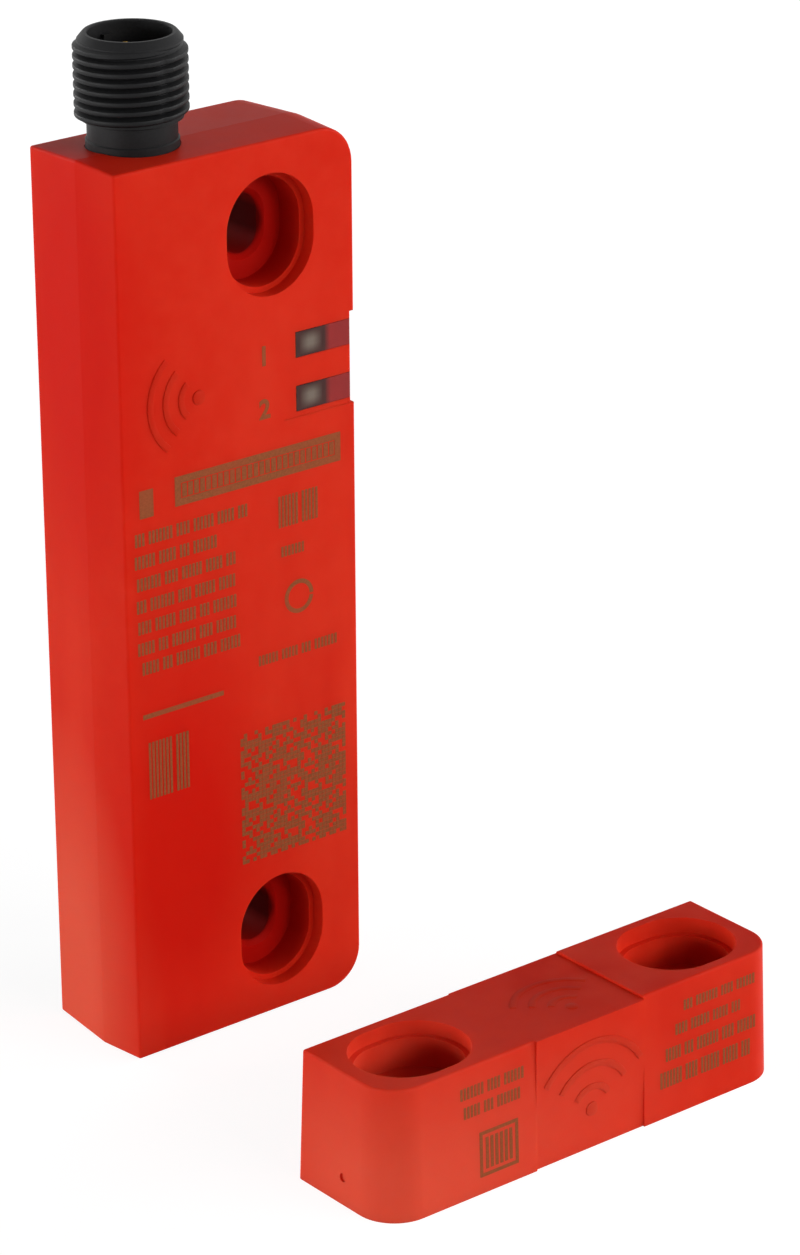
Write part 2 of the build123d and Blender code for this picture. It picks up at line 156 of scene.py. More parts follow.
# Printed marks
PRINT_THICKNESS = 0.02
PRINT_SINK = 0.03
HATCH_STROKE = 0.3
HATCH_GAP = 0.16
WORD_GAP = 0.4
WORD_STROKES = (5, 3, 7, 4, 6)
SQUARE_SHARE = 0.92
FIGURE_SIZE = 3.0
FIGURE_WEIGHT = 0.03
FIGURE_MERGE = 0.0005

# Hatched rows of print, from the read head's left foot and the actuator's middle: level, start, end, height and
# the place in WORD_STROKES that their first word takes
READER_ROWS = (
    (60.6, 1.7, 16.4, 1.45, 1),
    (58.1, 1.6, 12.4, 1.45, 4),
    (55.6, 1.8, 14.0, 1.45, 2),
    (53.1, 1.7, 14.8, 1.45, 6),
    (50.7, 1.8, 15.0, 1.45, 3),
    (48.3, 1.7, 14.0, 1.45, 5),
    (46.0, 2.2, 12.8, 1.45, 0),
    (59.2, 20.6, 24.8, 3.6, 4),
    (54.6, 20.9, 24.0, 1.2, 2),
    (42.8, 17.6, 28.6, 1.2, 4),
    (34.1, 2.7, 6.9, 6.6, 2),
)
ACTUATOR_LEFT_ROWS = (
    (12.1, -17.6, -9.6, 1.35, 2),
    (9.9, -17.2, -9.2, 1.35, 5),
)
ACTUATOR_RIGHT_ROWS = (
    (12.4, 13.2, 21.0, 1.2, 1),
    (9.9, 12.0, 21.6, 1.3, 3),
    (7.3, 10.6, 21.8, 1.5, 5),
    (4.5, 9.8, 22.0, 1.9, 2),
)

# Lamps: name, place, target, width and height in metres, and power in watts
LAMPS = (
    ("front_light", (0.30, -0.88, 0.42), (0.0, 0.0, 0.04), 0.9, 0.26, 6.4),
    ("right_light", (0.90, -0.42, 0.30), (0.0, 0.0, 0.02), 0.4, 0.2, 4.0),
    ("left_light", (-0.98, 0.16, 0.15), (0.0, 0.0, 0.04), 0.9, 0.24, 6.4),
    ("back_light", (-0.35, 0.95, 0.20), (0.0, 0.0, 0.04), 0.6, 0.2, 2.8),
)

# Floor, in metres: its white rises with the distance, so that it goes over into the background
FLOOR_HALF = 3.0
FLOOR_GLOW = 1.25
FLOOR_WHITE_NEAR = 0.72
FLOOR_WHITE_START = 0.2
FLOOR_WHITE_END = 1.0

# Light from the surroundings: levels at the horizon and overhead, and the heights between which it changes
HORIZON_LIGHT = 0.12
OVERHEAD_LIGHT = 0.04
HORIZON_HEIGHT = -0.1
OVERHEAD_HEIGHT = 0.8
WHITE_FOR = ("Is Camera Ray", "Is Glossy Ray", "Is Transmission Ray")

# Camera, fitted to the photograph: turns in radians, place in millimetres
CAMERA_YAW = 0.6815
CAMERA_PITCH = 0.3906
CAMERA_ROLL = -0.0058
CAMERA_PLACE = (-281.5, -346.1, 233.3)
CAMERA_SENSOR = 36.0
CAMERA_LENS = 130.88
CAMERA_CLIP = 0.01

# Faces that meet at less than this are shaded as one, and the radians that a wave node turns in each unit
SMOOTH_ANGLE = math.radians(32)
WAVE_RADIANS = 20


# Materials

class Value:
    """A number that changes over a surface, with arithmetic that adds Math nodes."""

    def __init__(self, finish, socket):
        self.finish = finish
        self.socket = socket

    def worked(self, operation, other, turned=False):
        """A Math node on this value and another, which comes first when they are turned."""
        first, second = (other, self) if turned else (self, other)
        return self.finish.add("ShaderNodeMath", {"operation": operation}, {0: first, 1: second})

    def __add__(self, other):
        return self.worked("ADD", other)

    __radd__ = __add__

    def __sub__(self, other):
        return self.worked("SUBTRACT", other)

    def __rsub__(self, other):
        return self.worked("SUBTRACT", other, turned=True)

    def __mul__(self, other):
        return self.worked("MULTIPLY", other)

    __rmul__ = __mul__


class Finish:
    """One material: its shader, the nodes that feed it and the object's coordinates."""

    def __init__(self, name, constants):
        self.material = bpy.data.materials.new(name)
        self.material.use_nodes = True
        self.tree = self.material.node_tree
        self.tree.nodes.clear()
        self.shader = self.tree.nodes.new("ShaderNodeBsdfPrincipled")
        self.surface = self.tree.nodes.new("ShaderNodeOutputMaterial").inputs["Surface"]
        self.tree.links.new(self.shader.outputs["BSDF"], self.surface)
        for socket, value in constants.items():
            self.shader.inputs[socket].default_value = value
        self.place = self.add("ShaderNodeTexCoord", output="Object")

    def feed(self, socket, value):
        """Leads a value into a socket, or sets it there."""
        if isinstance(value, Value):
            self.tree.links.new(value.socket, socket)
        else:
            socket.default_value = value

    def add(self, kind, settings=None, inputs=None, output=0):
        """A node of this kind, its settings before its sockets."""
        node = self.tree.nodes.new(kind)
        for name, value in (settings or {}).items():
            setattr(node, name, value)
        for name, value in (inputs or {}).items():
            self.feed(node.inputs[name], value)
        return Value(self, node.outputs[output])

    def noise(self, scale, detail, place=None):
        """Cloudy pattern from 0 to 1, with this many waves in a metre."""
        inputs = {"Vector": place or self.place, "Scale": scale, "Detail": detail}
        return self.add("ShaderNodeTexNoise", None, inputs, "Fac")

    def along(self, axis):
        """How far along one of the object's axes a point lies, in metres."""
        return self.add("ShaderNodeSeparateXYZ", None, {0: self.place}, axis)

    def stretched(self, scales):
        """The object's coordinates, pulled out of shape along the axes."""
        return self.add("ShaderNodeMapping", None, {"Vector": self.place, "Scale": scales})

    def around(self, point, scales, full_mm, none_mm):
        """1 near a point, given in millimetres, and 0 farther off, measured in the stretched coordinates."""
        centre = tuple(value * scale * MM for value, scale in zip(point, scales))
        ends = {0: self.stretched(scales), 1: centre}
        gap = self.add("ShaderNodeVectorMath", {"operation": "DISTANCE"}, ends, "Value")
        return self.spread(gap, none_mm * MM, full_mm * MM)

    def bands(self, direction, spacing_mm):
        """Even stripes across an axis."""
        scale = 2 * math.pi / WAVE_RADIANS / (spacing_mm * MM)
        settings = {"wave_type": "BANDS", "bands_direction": direction}
        return self.add("ShaderNodeTexWave", settings, {"Vector": self.place, "Scale": scale}, "Fac")

    def spread(self, value, low, high):
        """A value's stretch from low to high, drawn out to 0 and 1."""
        return self.add("ShaderNodeMapRange", None, {"Value": value, "From Min": low, "From Max": high})

    def blend(self, share, first, second):
        """Colour between two others. A Mix node's colour sockets are its inputs 6 and 7 and its output 2."""
        return self.add("ShaderNodeMix", {"data_type": "RGBA"}, {0: share, 6: first, 7: second}, 2)

    def relief(self, height, depth_mm, strength):
        """Surface normal of a pattern this deep."""
        inputs = {"Height": height, "Distance": depth_mm * MM, "Strength": strength}
        return self.add("ShaderNodeBump", None, inputs, "Normal")

    def done(self, colour, roughness, normal):
        """The material, with what changes over it led to its shader."""
        self.feed(self.shader.inputs["Base Color"], colour)
        self.feed(self.shader.inputs["Roughness"], roughness)
        self.feed(self.shader.inputs["Normal"], normal)
        return self.material


def shade(red, green, blue):
    """A picture's colour, 0 to 255, as a shader takes it."""
    parts = [value / 255 for value in (red, green, blue)]
    light = [part / 12.92 if part <= 0.04045 else ((part + 0.055) / 1.055) ** 2.4 for part in parts]
    return (*light, 1.0)


def slot_shade_mask(finish, full_mm, none_mm):
    """1 on the walls of the read head's fixing slots that are this near to their axes, below the face: where shade
    is painted.
    """
    depth = finish.along("Y")
    inside = finish.spread(depth, (case_low.y + SLOT_SHADE_START) * MM, (case_low.y + SLOT_SHADE_FULL) * MM)
    back_end, back_full = case_high.y - SLOT_SHADE_BACK_END, case_high.y - SLOT_SHADE_BACK_FULL
    inside = inside * finish.spread(depth, back_end * MM, back_full * MM)
    axis = case_high.x - SLOT_SIDE
    near = sum(finish.around((axis, 0.0, height), SLOT_FLOW, full_mm, none_mm)
               for height in (case_low.z + SLOT_RISE, case_high.z - SLOT_DROP))
    return near * inside


def moulded_red():
    """Red case plastic: flow clouds, a fine eroded grain, a satin gloss, and painted sheen and shade that differ by
    place.
    """
    finish = Finish("moulded_red", {"Specular IOR Level": 0.045, "Subsurface Weight": 0.3,
                                    "Subsurface Radius": (1.0, 0.12, 0.05), "Subsurface Scale": 0.0025})
    clouds = finish.noise(38.0, 3.0, finish.stretched((1.0, 1.0, 0.35)))
    streaks = finish.noise(170.0, 2.0, finish.stretched((1.0, 1.0, 0.25)))
    mottle = finish.noise(420.0, 2.0)
    grain = finish.noise(6500.0, 2.0)
    flow = finish.spread(clouds, 0.35, 0.65)
    rubbed = finish.spread(streaks, 0.40, 0.70) * finish.spread(clouds, 0.42, 0.6)
    colour = finish.blend(flow, shade(208, 36, 16), shade(216, 50, 28))
    colour = finish.blend(finish.spread(mottle, 0.3, 0.75) * 0.3, colour, shade(220, 56, 34))
    colour = finish.blend(rubbed * 0.45, colour, shade(192, 14, 5))

    # Painted lack of sheen: deeper red low on the front and at the upper left edge
    foot = finish.around((case_low.x + 7.0, case_low.y - 2.0, 24.0), UPRIGHT_FLOW, full_mm=5.0, none_mm=14.0)
    left_edge = (case_low.x - 6.0, (case_low.y + case_high.y) / 2, 82.0)
    shoulder = finish.around(left_edge, UPRIGHT_FLOW, full_mm=8.0, none_mm=15.0)
    colour = finish.blend((foot + shoulder) * (0.55 + clouds * 0.5), colour, shade(202, 16, 5))

    # Painted sheen: paler red low on the left side of both items
    heel_sheen = finish.around((case_low.x - 1.0, case_high.y - 3.0, 6.0), UPRIGHT_FLOW, full_mm=4.0, none_mm=13.0)
    left_foot = (actuator_low.x - 2.0, actuator_low.y + 3.0, 2.0)
    corner = finish.around(left_foot, LEVEL_FLOW, full_mm=6.0, none_mm=28.0)
    colour = finish.blend(heel_sheen * 0.75 + corner * 0.65, colour, shade(226, 90, 66))

    # Painted shade: deep red in the read head's slots, darkest in the holes
    slots = slot_shade_mask(finish, full_mm=5.8, none_mm=6.6)
    hole_shade = slot_shade_mask(finish, full_mm=2.6, none_mm=3.0)
    colour = finish.blend(slots * 0.85, colour, shade(166, 4, 4))
    colour = finish.blend(hole_shade * 0.9, colour, shade(78, 2, 2))
    roughness = 0.38 + mottle * 0.12 + grain * 0.06 + rubbed * 0.06 + hole_shade * 0.35
    height = grain * 0.7 + finish.noise(1500.0, 1.0) * 0.3
    return finish.done(colour, roughness, finish.relief(height, 0.012, 0.5))


def burnt_print():
    """Laser mark: the red plastic burnt to brown, a little grainy and dull."""
    finish = Finish("burnt_print", {"Specular IOR Level": 0.12})
    grain = finish.noise(5200.0, 2.0)
    patches = finish.noise(150.0, 2.0)
    colour = finish.blend(finish.spread(grain, 0.3, 0.7), shade(130, 70, 36), shade(148, 80, 44))
    colour = finish.blend(finish.spread(patches, 0.4, 0.8) * 0.4, colour, shade(172, 62, 36))
    return finish.done(colour, 0.55 + grain * 0.2, finish.relief(grain, 0.008, 0.5))


def smoked_window():
    """Smoked plastic over the lamps: pale over each light guide, and dull red where the case shows through."""
    finish = Finish("smoked_window", {"Specular IOR Level": 0.2})
    across = finish.spread(finish.along("X"), guide_low.x * MM, guide_high.x * MM)
    middle = (guide_low.z + guide_high.z) / 2
    off_middle = (finish.along("Z") - middle * MM).worked("PINGPONG", WINDOW_PITCH / 2 * MM)
    pale = finish.spread(across, 0.06, 0.22) * finish.spread(across, 0.46, 0.30)
    pale = pale * finish.spread(off_middle, 1.3 * MM, 0.3 * MM)
    ruddy = finish.spread(across, 0.50, 0.60)
    haze = finish.noise(700.0, 2.0)
    colour = finish.blend(haze, shade(50, 24, 21), shade(76, 40, 36))
    colour = finish.blend(pale * 0.85, colour, shade(122, 110, 98))
    colour = finish.blend(ruddy * (0.75 + haze * 0.25), colour, shade(152, 36, 35))
    return finish.done(colour, 0.16 + haze * 0.1, finish.relief(haze, 0.006, 0.3))


def plain_plastic(name, dark, pale, roughness, grain_scale, depth_mm, gloss=0.4):
    """Moulded plastic in two close tones, with its own grain."""
    finish = Finish(name, {"Specular IOR Level": gloss})
    clouds = finish.noise(120.0, 3.0)
    grain = finish.noise(grain_scale, 2.0)
    colour = finish.blend(finish.spread(clouds * 0.6 + grain * 0.4, 0.35, 0.65), dark, pale)
    return finish.done(colour, roughness + grain * 0.14, finish.relief(grain, depth_mm, 0.5))


def brushed_metal(name, dark, pale, roughness, scales):
    """Metal with fine marks drawn along one way."""
    finish = Finish(name, {"Metallic": 1.0})
    marks = finish.noise(2400.0, 3.0, finish.stretched(scales))
    stain = finish.noise(340.0, 2.0)
    colour = finish.blend(finish.spread(marks * 0.5 + stain * 0.5, 0.35, 0.65), dark, pale)
    return finish.done(colour, roughness + marks * 0.12 + stain * 0.06, finish.relief(marks, 0.004, 0.4))


def lacquered_board():
    """Green board: copper tracks under lacquer, with the glass weave's faint relief."""
    finish = Finish("lacquered_board", {"Specular IOR Level": 0.5, "Coat Weight": 0.3, "Coat Roughness": 0.2})
    tracks = finish.spread(finish.bands("Z", 1.3), 0.62, 0.70)
    broken = finish.spread(finish.noise(240.0, 1.0), 0.48, 0.52)
    track = tracks * broken
    weave = finish.bands("X", 0.35) * 0.5 + finish.bands("Z", 0.35) * 0.5
    colour = finish.blend(weave, shade(8, 66, 34), shade(12, 78, 40))
    colour = finish.blend(track, colour, shade(46, 118, 58))
    return finish.done(colour, 0.32 + weave * 0.1, finish.relief(track * 0.8 + weave * 0.2, 0.03, 0.6))


def wound_copper():
    """Enamelled wire, its turns side by side."""
    finish = Finish("wound_copper", {"Metallic": 0.9})
    turns = finish.bands("Y", 0.22)
    tarnish = finish.noise(700.0, 2.0)
    colour = finish.blend(turns, shade(112, 48, 20), shade(204, 112, 62))
    colour = finish.blend(tarnish * 0.3, colour, shade(150, 66, 30))
    return finish.done(colour, 0.28 + tarnish * 0.16, finish.relief(turns, 0.08, 0.8))


def cast_resin():
    """Dark cast resin that closes the open side: slow waves of its skin, and dust in it."""
    finish = Finish("cast_resin", {"Specular IOR Level": 0.35})
    swell = finish.noise(70.0, 2.0)
    flow = finish.noise(160.0, 3.0, finish.stretched((1.0, 1.0, 0.4)))
    dust = finish.spread(finish.noise(2200.0, 2.0), 0.64, 0.72)
    colour = finish.blend(finish.spread(swell * 0.5 + flow * 0.5, 0.38, 0.62), shade(14, 14, 17), shade(42, 42, 47))
    colour = finish.blend(dust * 0.6, colour, shade(96, 96, 100))
    return finish.done(colour, 0.16 + swell * 0.12 + dust * 0.2, finish.relief(swell, 0.5, 0.35))


finishes = {
    "red_case": moulded_red(),
    "smoked_window": smoked_window(),
    "black_plug": plain_plastic(
        "matt_black", shade(14, 14, 15), shade(25, 25, 26), roughness=0.44, grain_scale=3600.0, depth_mm=0.015,
        gloss=0.15),
    "seal_rubber": plain_plastic(
        "seal_rubber", shade(18, 18, 18), shade(30, 30, 29), roughness=0.62, grain_scale=2200.0, depth_mm=0.02),
    "nut_brass": brushed_metal(
        "nut_brass", shade(150, 128, 78), shade(196, 174, 118), roughness=0.26, scales=(1.0, 1.0, 9.0)),
    "board_green": lacquered_board(),
    "flex_amber": plain_plastic(
        "flex_amber", shade(168, 88, 22), shade(206, 122, 38), roughness=0.24, grain_scale=900.0, depth_mm=0.01),
    "ferrite": plain_plastic(
        "ferrite", shade(42, 42, 45), shade(66, 66, 70), roughness=0.50, grain_scale=2800.0, depth_mm=0.03),
    "spool_white": plain_plastic(
        "spool_white", shade(212, 208, 196), shade(228, 225, 214), roughness=0.38, grain_scale=2600.0,
        depth_mm=0.01),
    "copper": wound_copper(),
    "chip_black": plain_plastic(
        "chip_black", shade(20, 20, 22), shade(38, 38, 41), roughness=0.46, grain_scale=5200.0, depth_mm=0.012),
    "capacitor_tan": plain_plastic(
        "capacitor_tan", shade(160, 122, 80), shade(188, 150, 106), roughness=0.40, grain_scale=3200.0,
        depth_mm=0.01),
    "can_aluminium": brushed_metal(
        "can_aluminium", shade(168, 168, 170), shade(206, 206, 208), roughness=0.26, scales=(1.0, 6.0, 1.0)),
    "lamp_white": plain_plastic(
        "lamp_white", shade(222, 220, 204), shade(238, 236, 222), roughness=0.26, grain_scale=1800.0,
        depth_mm=0.006),
    "soft_filling": plain_plastic(
        "soft_filling", shade(128, 128, 120), shade(156, 156, 147), roughness=0.44, grain_scale=1400.0,
        depth_mm=0.02),
    "cast_seal": cast_resin(),
    "contact_gold": brushed_metal(
        "contact_gold", shade(196, 150, 62), shade(228, 190, 104), roughness=0.18, scales=(1.0, 1.0, 0.2)),
}
print_finish = burnt_print()

for part in frame["record"]["subparts"]:
    for holder in nodes[part["node"]].material_slots:
        holder.material = finishes[part["material_slot"]]


# Making pieces

def finished(bm, name, material, node=None):
    """Closes a piece's mesh, gives it its finish and hangs it on the set."""
    bmesh.ops.scale(bm, vec=(MM, MM, MM), verts=bm.verts)
    bmesh.ops.recalc_face_normals(bm, faces=bm.faces)
    mesh = bpy.data.meshes.new(name)
    bm.to_mesh(mesh)
    bm.free()
    mesh.shade_smooth()
    mesh.set_sharp_from_angle(angle=SMOOTH_ANGLE)
    mesh.materials.append(material)
    piece = bpy.data.objects.new(name, mesh)
    scene.collection.objects.link(piece)
    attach(piece, "root")
    if node:
        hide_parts(node)


def face_frame(origin, across, up):
    """Turns marks drawn on a flat sheet, with z towards the eye, onto a face."""
    across = Vector(across).normalized()
    up = Vector(up).normalized()
    turn = Matrix((across, up, across.cross(up))).transposed().to_4x4()
    return Matrix.Translation(Vector(origin)) @ turn


def block(bm, x_range, y_range, z_range):
    """Rectangular block between three pairs of limits."""
    limits = (x_range, y_range, z_range)
    middle = Vector([(low + high) / 2 for low, high in limits])
    size = Matrix.Diagonal([high - low for low, high in limits] + [1.0])
    bmesh.ops.create_cube(bm, size=1.0, matrix=Matrix.Translation(middle) @ size)


# Plug with its thread

def spun_ring(bm, profile, axis_place, steps):
    """Closed ring from a profile of radius and height, spun round an upright axis."""
    verts = [bm.verts.new((axis_place.x + radius, axis_place.y, height)) for radius, height in profile]
    edges = [bm.edges.new((verts[i - 1], verts[i])) for i in range(len(verts))]
    bmesh.ops.spin(bm, geom=verts + edges, cent=axis_place, axis=(0, 0, 1), angle=2 * math.pi,
                   steps=steps, use_merge=True)


def plug_thread(bm, low):
    """The raised ridge of the thread, which dies away at both ends and thins at the parting line."""
    foot = THREAD_ROOT - THREAD_FOOT_SINK
    shoulder = THREAD_CREST - THREAD_SHOULDER_DROP
    section = [
        (foot, -THREAD_FOOT_HALF),
        (shoulder, -THREAD_SHOULDER_HALF),
        (THREAD_CREST, -THREAD_CREST_HALF),
        (THREAD_CREST, THREAD_CREST_HALF),
        (shoulder, THREAD_SHOULDER_HALF),
        (foot, THREAD_FOOT_HALF),
    ]
    start = Vector((plug_axis.x, plug_axis.y, low))
    verts = [bm.verts.new((start.x + radius, start.y, low + rise)) for radius, rise in section]
    face = bm.faces.new(verts)
    steps = round(THREAD_TURNS * STEPS_PER_TURN)
    bmesh.ops.spin(bm, geom=[face], cent=start, axis=(0, 0, 1), angle=2 * math.pi * THREAD_TURNS,
                   dvec=(0, 0, THREAD_PITCH / STEPS_PER_TURN), steps=steps)
    faded = THREAD_ROOT - FADE_SINK
    for vert in bm.verts:
        arm = Vector((vert.co.x - start.x, vert.co.y - start.y, 0))
        share = math.atan2(arm.y, arm.x) / (2 * math.pi)
        climbed = (vert.co.z - low) / THREAD_PITCH
        turns = round(climbed - share) + share
        left = min(turns, THREAD_TURNS - turns) + FADE_MARGIN
        crest = faded + (THREAD_CREST - faded) * max(min(left, FADE_TURNS) / FADE_TURNS, 0.0)
        if abs(arm.x) < PARTING_HALF:
            crest = min(crest, THREAD_ROOT + PARTING_RISE)
        if arm.length > crest:
            arm.length = crest
            vert.co.x = start.x + arm.x
            vert.co.y = start.y + arm.y


def threaded_plug():
    """Black plug: shank, flange, neck, threaded barrel, collar and key rib."""
    top = case_high.z
    seat = top - SEAT_DROP
    flange_top = top + FLANGE_RISE
    step = top + INSERT_STEP_RISE
    rim = plug_high.z
    profile = [
        (INSERT_RADIUS, plug_low.z),
        (SHANK_RADIUS, plug_low.z),
        (SHANK_RADIUS, seat),
        (FLANGE_RADIUS, seat),
        (FLANGE_RADIUS, flange_top - EDGE_BREAK),
        (FLANGE_RADIUS - EDGE_BREAK, flange_top),
        (NECK_RADIUS, flange_top),
        (NECK_RADIUS, top + NECK_END_RISE),
        (THREAD_ROOT, top + BARREL_RISE),
        (THREAD_ROOT, top + BARREL_END_RISE),
        (COLLAR_RADIUS, top + COLLAR_RISE),
        (COLLAR_RADIUS, top + COLLAR_END_RISE),
        (RIM_FOOT_RADIUS, rim - EDGE_BREAK),
        (RIM_RADIUS, rim),
        (BORE_RADIUS + EDGE_BREAK, rim),
        (BORE_RADIUS, rim - BORE_EDGE_DROP),
        (BORE_RADIUS, step),
        (INSERT_RADIUS, step),
    ]
    bm = bmesh.new()
    plug_thread(bm, top + RIDGE_RISE)
    spun_ring(bm, profile, Vector((plug_axis.x, plug_axis.y, 0)), RING_STEPS)
    wall = plug_axis.y + BORE_RADIUS
    block(bm, (plug_axis.x - KEY_WIDTH / 2, plug_axis.x + KEY_WIDTH / 2), (wall - KEY_DEPTH, wall + KEY_SINK),
          (top + KEY_RISE, rim - KEY_BELOW_RIM))
    finished(bm, "threaded_plug", finishes["black_plug"], "connector_shell")


# Raised wave signs

def arc_band(bm, centre, radius, start, end, band, height):
    """Raised band along part of a circle drawn on a face, its ends square."""
    inner, outer = radius - band / 2, radius + band / 2
    direction = Vector((math.cos(math.radians(start)), math.sin(math.radians(start)), 0))
    middle = Vector((*centre, 0))
    corners = [(inner, -PRINT_SINK), (outer, -PRINT_SINK), (outer, height), (inner, height)]
    verts = [bm.verts.new(middle + direction * reach + Vector((0, 0, rise))) for reach, rise in corners]
    face = bm.faces.new(verts)
    steps = max(ARC_LEAST_STEPS, round(abs(end - start) / ARC_STEP_DEGREES))
    bmesh.ops.spin(bm, geom=[face], cent=middle, axis=(0, 0, 1), angle=math.radians(end - start), steps=steps)


def wave_sign(name, face, centre, radii, start, end, dot_radius, height):
    """Three rounded arcs round a dot, a plain sign for radio waves."""
    bm = bmesh.new()
    for radius in radii:
        arc_band(bm, centre, radius, start, end, SIGN_BAND, height)
    bmesh.ops.create_cone(bm, cap_ends=True, segments=DOT_SEGMENTS, radius1=dot_radius, radius2=dot_radius,
                          depth=height + PRINT_SINK,
                          matrix=Matrix.Translation((*centre, (height - PRINT_SINK) / 2)))
    bmesh.ops.recalc_face_normals(bm, faces=bm.faces)
    raised = [edge for edge in bm.edges
              if all(vert.co.z > height / 2 for vert in edge.verts)
              and edge.calc_face_angle(0.0) > SIGN_EDGE_ANGLE]
    bmesh.ops.bevel(bm, geom=raised, offset=SIGN_BEVEL, offset_type="OFFSET", segments=2, profile=0.5,
                    affect="EDGES", material=-1, clamp_overlap=True)
    bmesh.ops.transform(bm, matrix=face, verts=bm.verts)
    finished(bm, name, finishes["red_case"])


# Printed marks

def tile(bm, x_range, y_range):
    """Flat printed field."""
    block(bm, x_range, y_range, (-PRINT_SINK, PRINT_THICKNESS))


def outline_box(bm, x_range, y_range, line):
    """Printed frame of four bars."""
    tile(bm, x_range, (y_range[0], y_range[0] + line))
    tile(bm, x_range, (y_range[1] - line, y_range[1]))
    tile(bm, (x_range[0], x_range[0] + line), (y_range[0] + line, y_range[1] - line))
    tile(bm, (x_range[1] - line, x_range[1]), (y_range[0] + line, y_range[1] - line))


def barred_box(bm, x_range, y_range, line, count, start, pitch, width, levels):
    """Printed frame with even upright bars in it."""
    outline_box(bm, x_range, y_range, line)
    for index in range(count):
        x = start + index * pitch
        tile(bm, (x, x + width), levels)


def hatched_rows(bm, rows):
    """Rows of short fields, each of even upright strokes, in place of lines of print."""
    for level, start, end, height, beat in rows:
        x = start
        while x < end:
            for _ in range(WORD_STROKES[beat % len(WORD_STROKES)]):
                tile(bm, (x, x + HATCH_STROKE), (level - height / 2, level + height / 2))
                x += HATCH_STROKE + HATCH_GAP
            beat += 1
            x += WORD_GAP


def square_field(bm, x_range, y_range, columns, rows):
    """Block of small squares, set by a plain rule, which holds no code."""
    step_x = (x_range[1] - x_range[0]) / columns
    step_y = (y_range[1] - y_range[0]) / rows
    for column in range(columns):
        for row in range(rows):
            if (column * column * 3 + row * row * 7 + column * row * 5) % 17 < 11:
                x = x_range[0] + column * step_x
                y = y_range[0] + row * step_y
                tile(bm, (x, x + step_x * SQUARE_SHARE), (y, y + step_y * SQUARE_SHARE))


def printed(bm, name, face):
    """Puts a printed sheet onto its face."""
    bmesh.ops.transform(bm, matrix=face, verts=bm.verts)
    finished(bm, name, print_finish)


def reader_print(face):
    """The print on the read head's slot face: plain fields, a barred box, a ring, rows and a field of squares."""
    bm = bmesh.new()
    tile(bm, x_range=(2.4, 4.2), y_range=(62.9, 66.0))
    tile(bm, x_range=(2.1, 12.8), y_range=(40.2, 40.75))
    barred_box(bm, x_range=(7.0, 29.1), y_range=(63.2, 66.5), line=0.8, count=26, start=7.95, pitch=0.785,
               width=0.62, levels=(64.1, 65.6))
    hatched_rows(bm, READER_ROWS)
    arc_band(bm, centre=(23.2, 49.0), radius=1.7, start=0, end=352, band=0.5, height=PRINT_THICKNESS)
    square_field(bm, x_range=(14.9, 29.4), y_range=(19.4, 34.9), columns=30, rows=32)
    printed(bm, "reader_print", face)


def window_bead(face):
    """Fine raised line under the lower window, where the window's field ends."""
    bm = bmesh.new()
    block(bm, BEAD_X, BEAD_Z, (-PRINT_SINK, BEAD_HEIGHT))
    bmesh.ops.bevel(bm, geom=list(bm.edges), offset=BEAD_BEVEL, offset_type="OFFSET", segments=1, profile=0.5,
                    affect="EDGES", material=-1, clamp_overlap=True)
    bmesh.ops.transform(bm, matrix=face, verts=bm.verts)
    finished(bm, "window_bead", finishes["red_case"])


def numeral(name, figure, place, face):
    """A plain printed figure beside a window."""
    curve = bpy.data.curves.new(name, "FONT")
    curve.body = figure
    curve.size = FIGURE_SIZE
    curve.extrude = PRINT_THICKNESS
    curve.offset = FIGURE_SIZE * FIGURE_WEIGHT
    curve.align_x = "CENTER"
    curve.align_y = "CENTER"
    drawn = bpy.data.objects.new(name, curve)
    scene.collection.objects.link(drawn)
    bpy.context.view_layer.update()
    mesh = bpy.data.meshes.new_from_object(drawn.evaluated_get(bpy.context.evaluated_depsgraph_get()))
    bm = bmesh.new()
    bm.from_mesh(mesh)
    bpy.data.objects.remove(drawn)
    bmesh.ops.remove_doubles(bm, verts=bm.verts, dist=FIGURE_MERGE)
    bmesh.ops.translate(bm, verts=bm.verts, vec=(*place, 0))
    printed(bm, name, face)


def actuator_left_print(face):
    """Two short rows and a barred square on the actuator's left section."""
    bm = bmesh.new()
    hatched_rows(bm, ACTUATOR_LEFT_ROWS)
    barred_box(bm, x_range=(-15.2, -10.0), y_range=(1.9, 7.1), line=0.4, count=6, start=-14.4, pitch=0.64,
               width=0.4, levels=(2.7, 6.3))
    printed(bm, "actuator_left_print", face)


def actuator_right_print(face):
    """Four short rows on the actuator's right section."""
    bm = bmesh.new()
    hatched_rows(bm, ACTUATOR_RIGHT_ROWS)
    printed(bm, "actuator_right_print", face)


threaded_plug()
reader_face = face_frame((case_low.x, case_low.y, 0), (1, 0, 0), (0, 0, 1))
end_face = face_frame((0, actuator_low.y, 0), (1, 0, 0), (0, math.sin(ACTUATOR_DRAFT), math.cos(ACTUATOR_DRAFT)))
middle_face = face_frame((0, actuator_low.y + MIDDLE_RECESS, 0), (1, 0, 0), (0, 0, 1))
middle_top = face_frame((0, actuator_low.y, actuator_high.z - SECTION_STEP), (1, 0, 0), (0, 1, 0))
wave_sign("reader_wave_sign", reader_face, centre=(10.4, 74.6), radii=(2.3, 4.3, 6.3), start=130, end=230,
          dot_radius=0.8, height=SIGN_HEIGHT)
wave_sign("actuator_wave_sign", middle_face, centre=(0.2, 4.6), radii=(2.6, 5.2, 7.8), start=30, end=145,
          dot_radius=0.8, height=SIGN_HEIGHT)
wave_sign("actuator_top_wave_sign", middle_top, centre=(0.6, 4.0), radii=(2.2, 4.2, 6.2), start=35, end=145,
          dot_radius=0.7, height=FAINT_SIGN_HEIGHT)
window_bead(reader_face)
reader_print(reader_face)
numeral("upper_window_figure", "1", (19.0, 77.1), reader_face)
numeral("lower_window_figure", "2", (19.0, 71.2), reader_face)
actuator_left_print(end_face)
actuator_right_print(end_face)


# Floor, light and camera

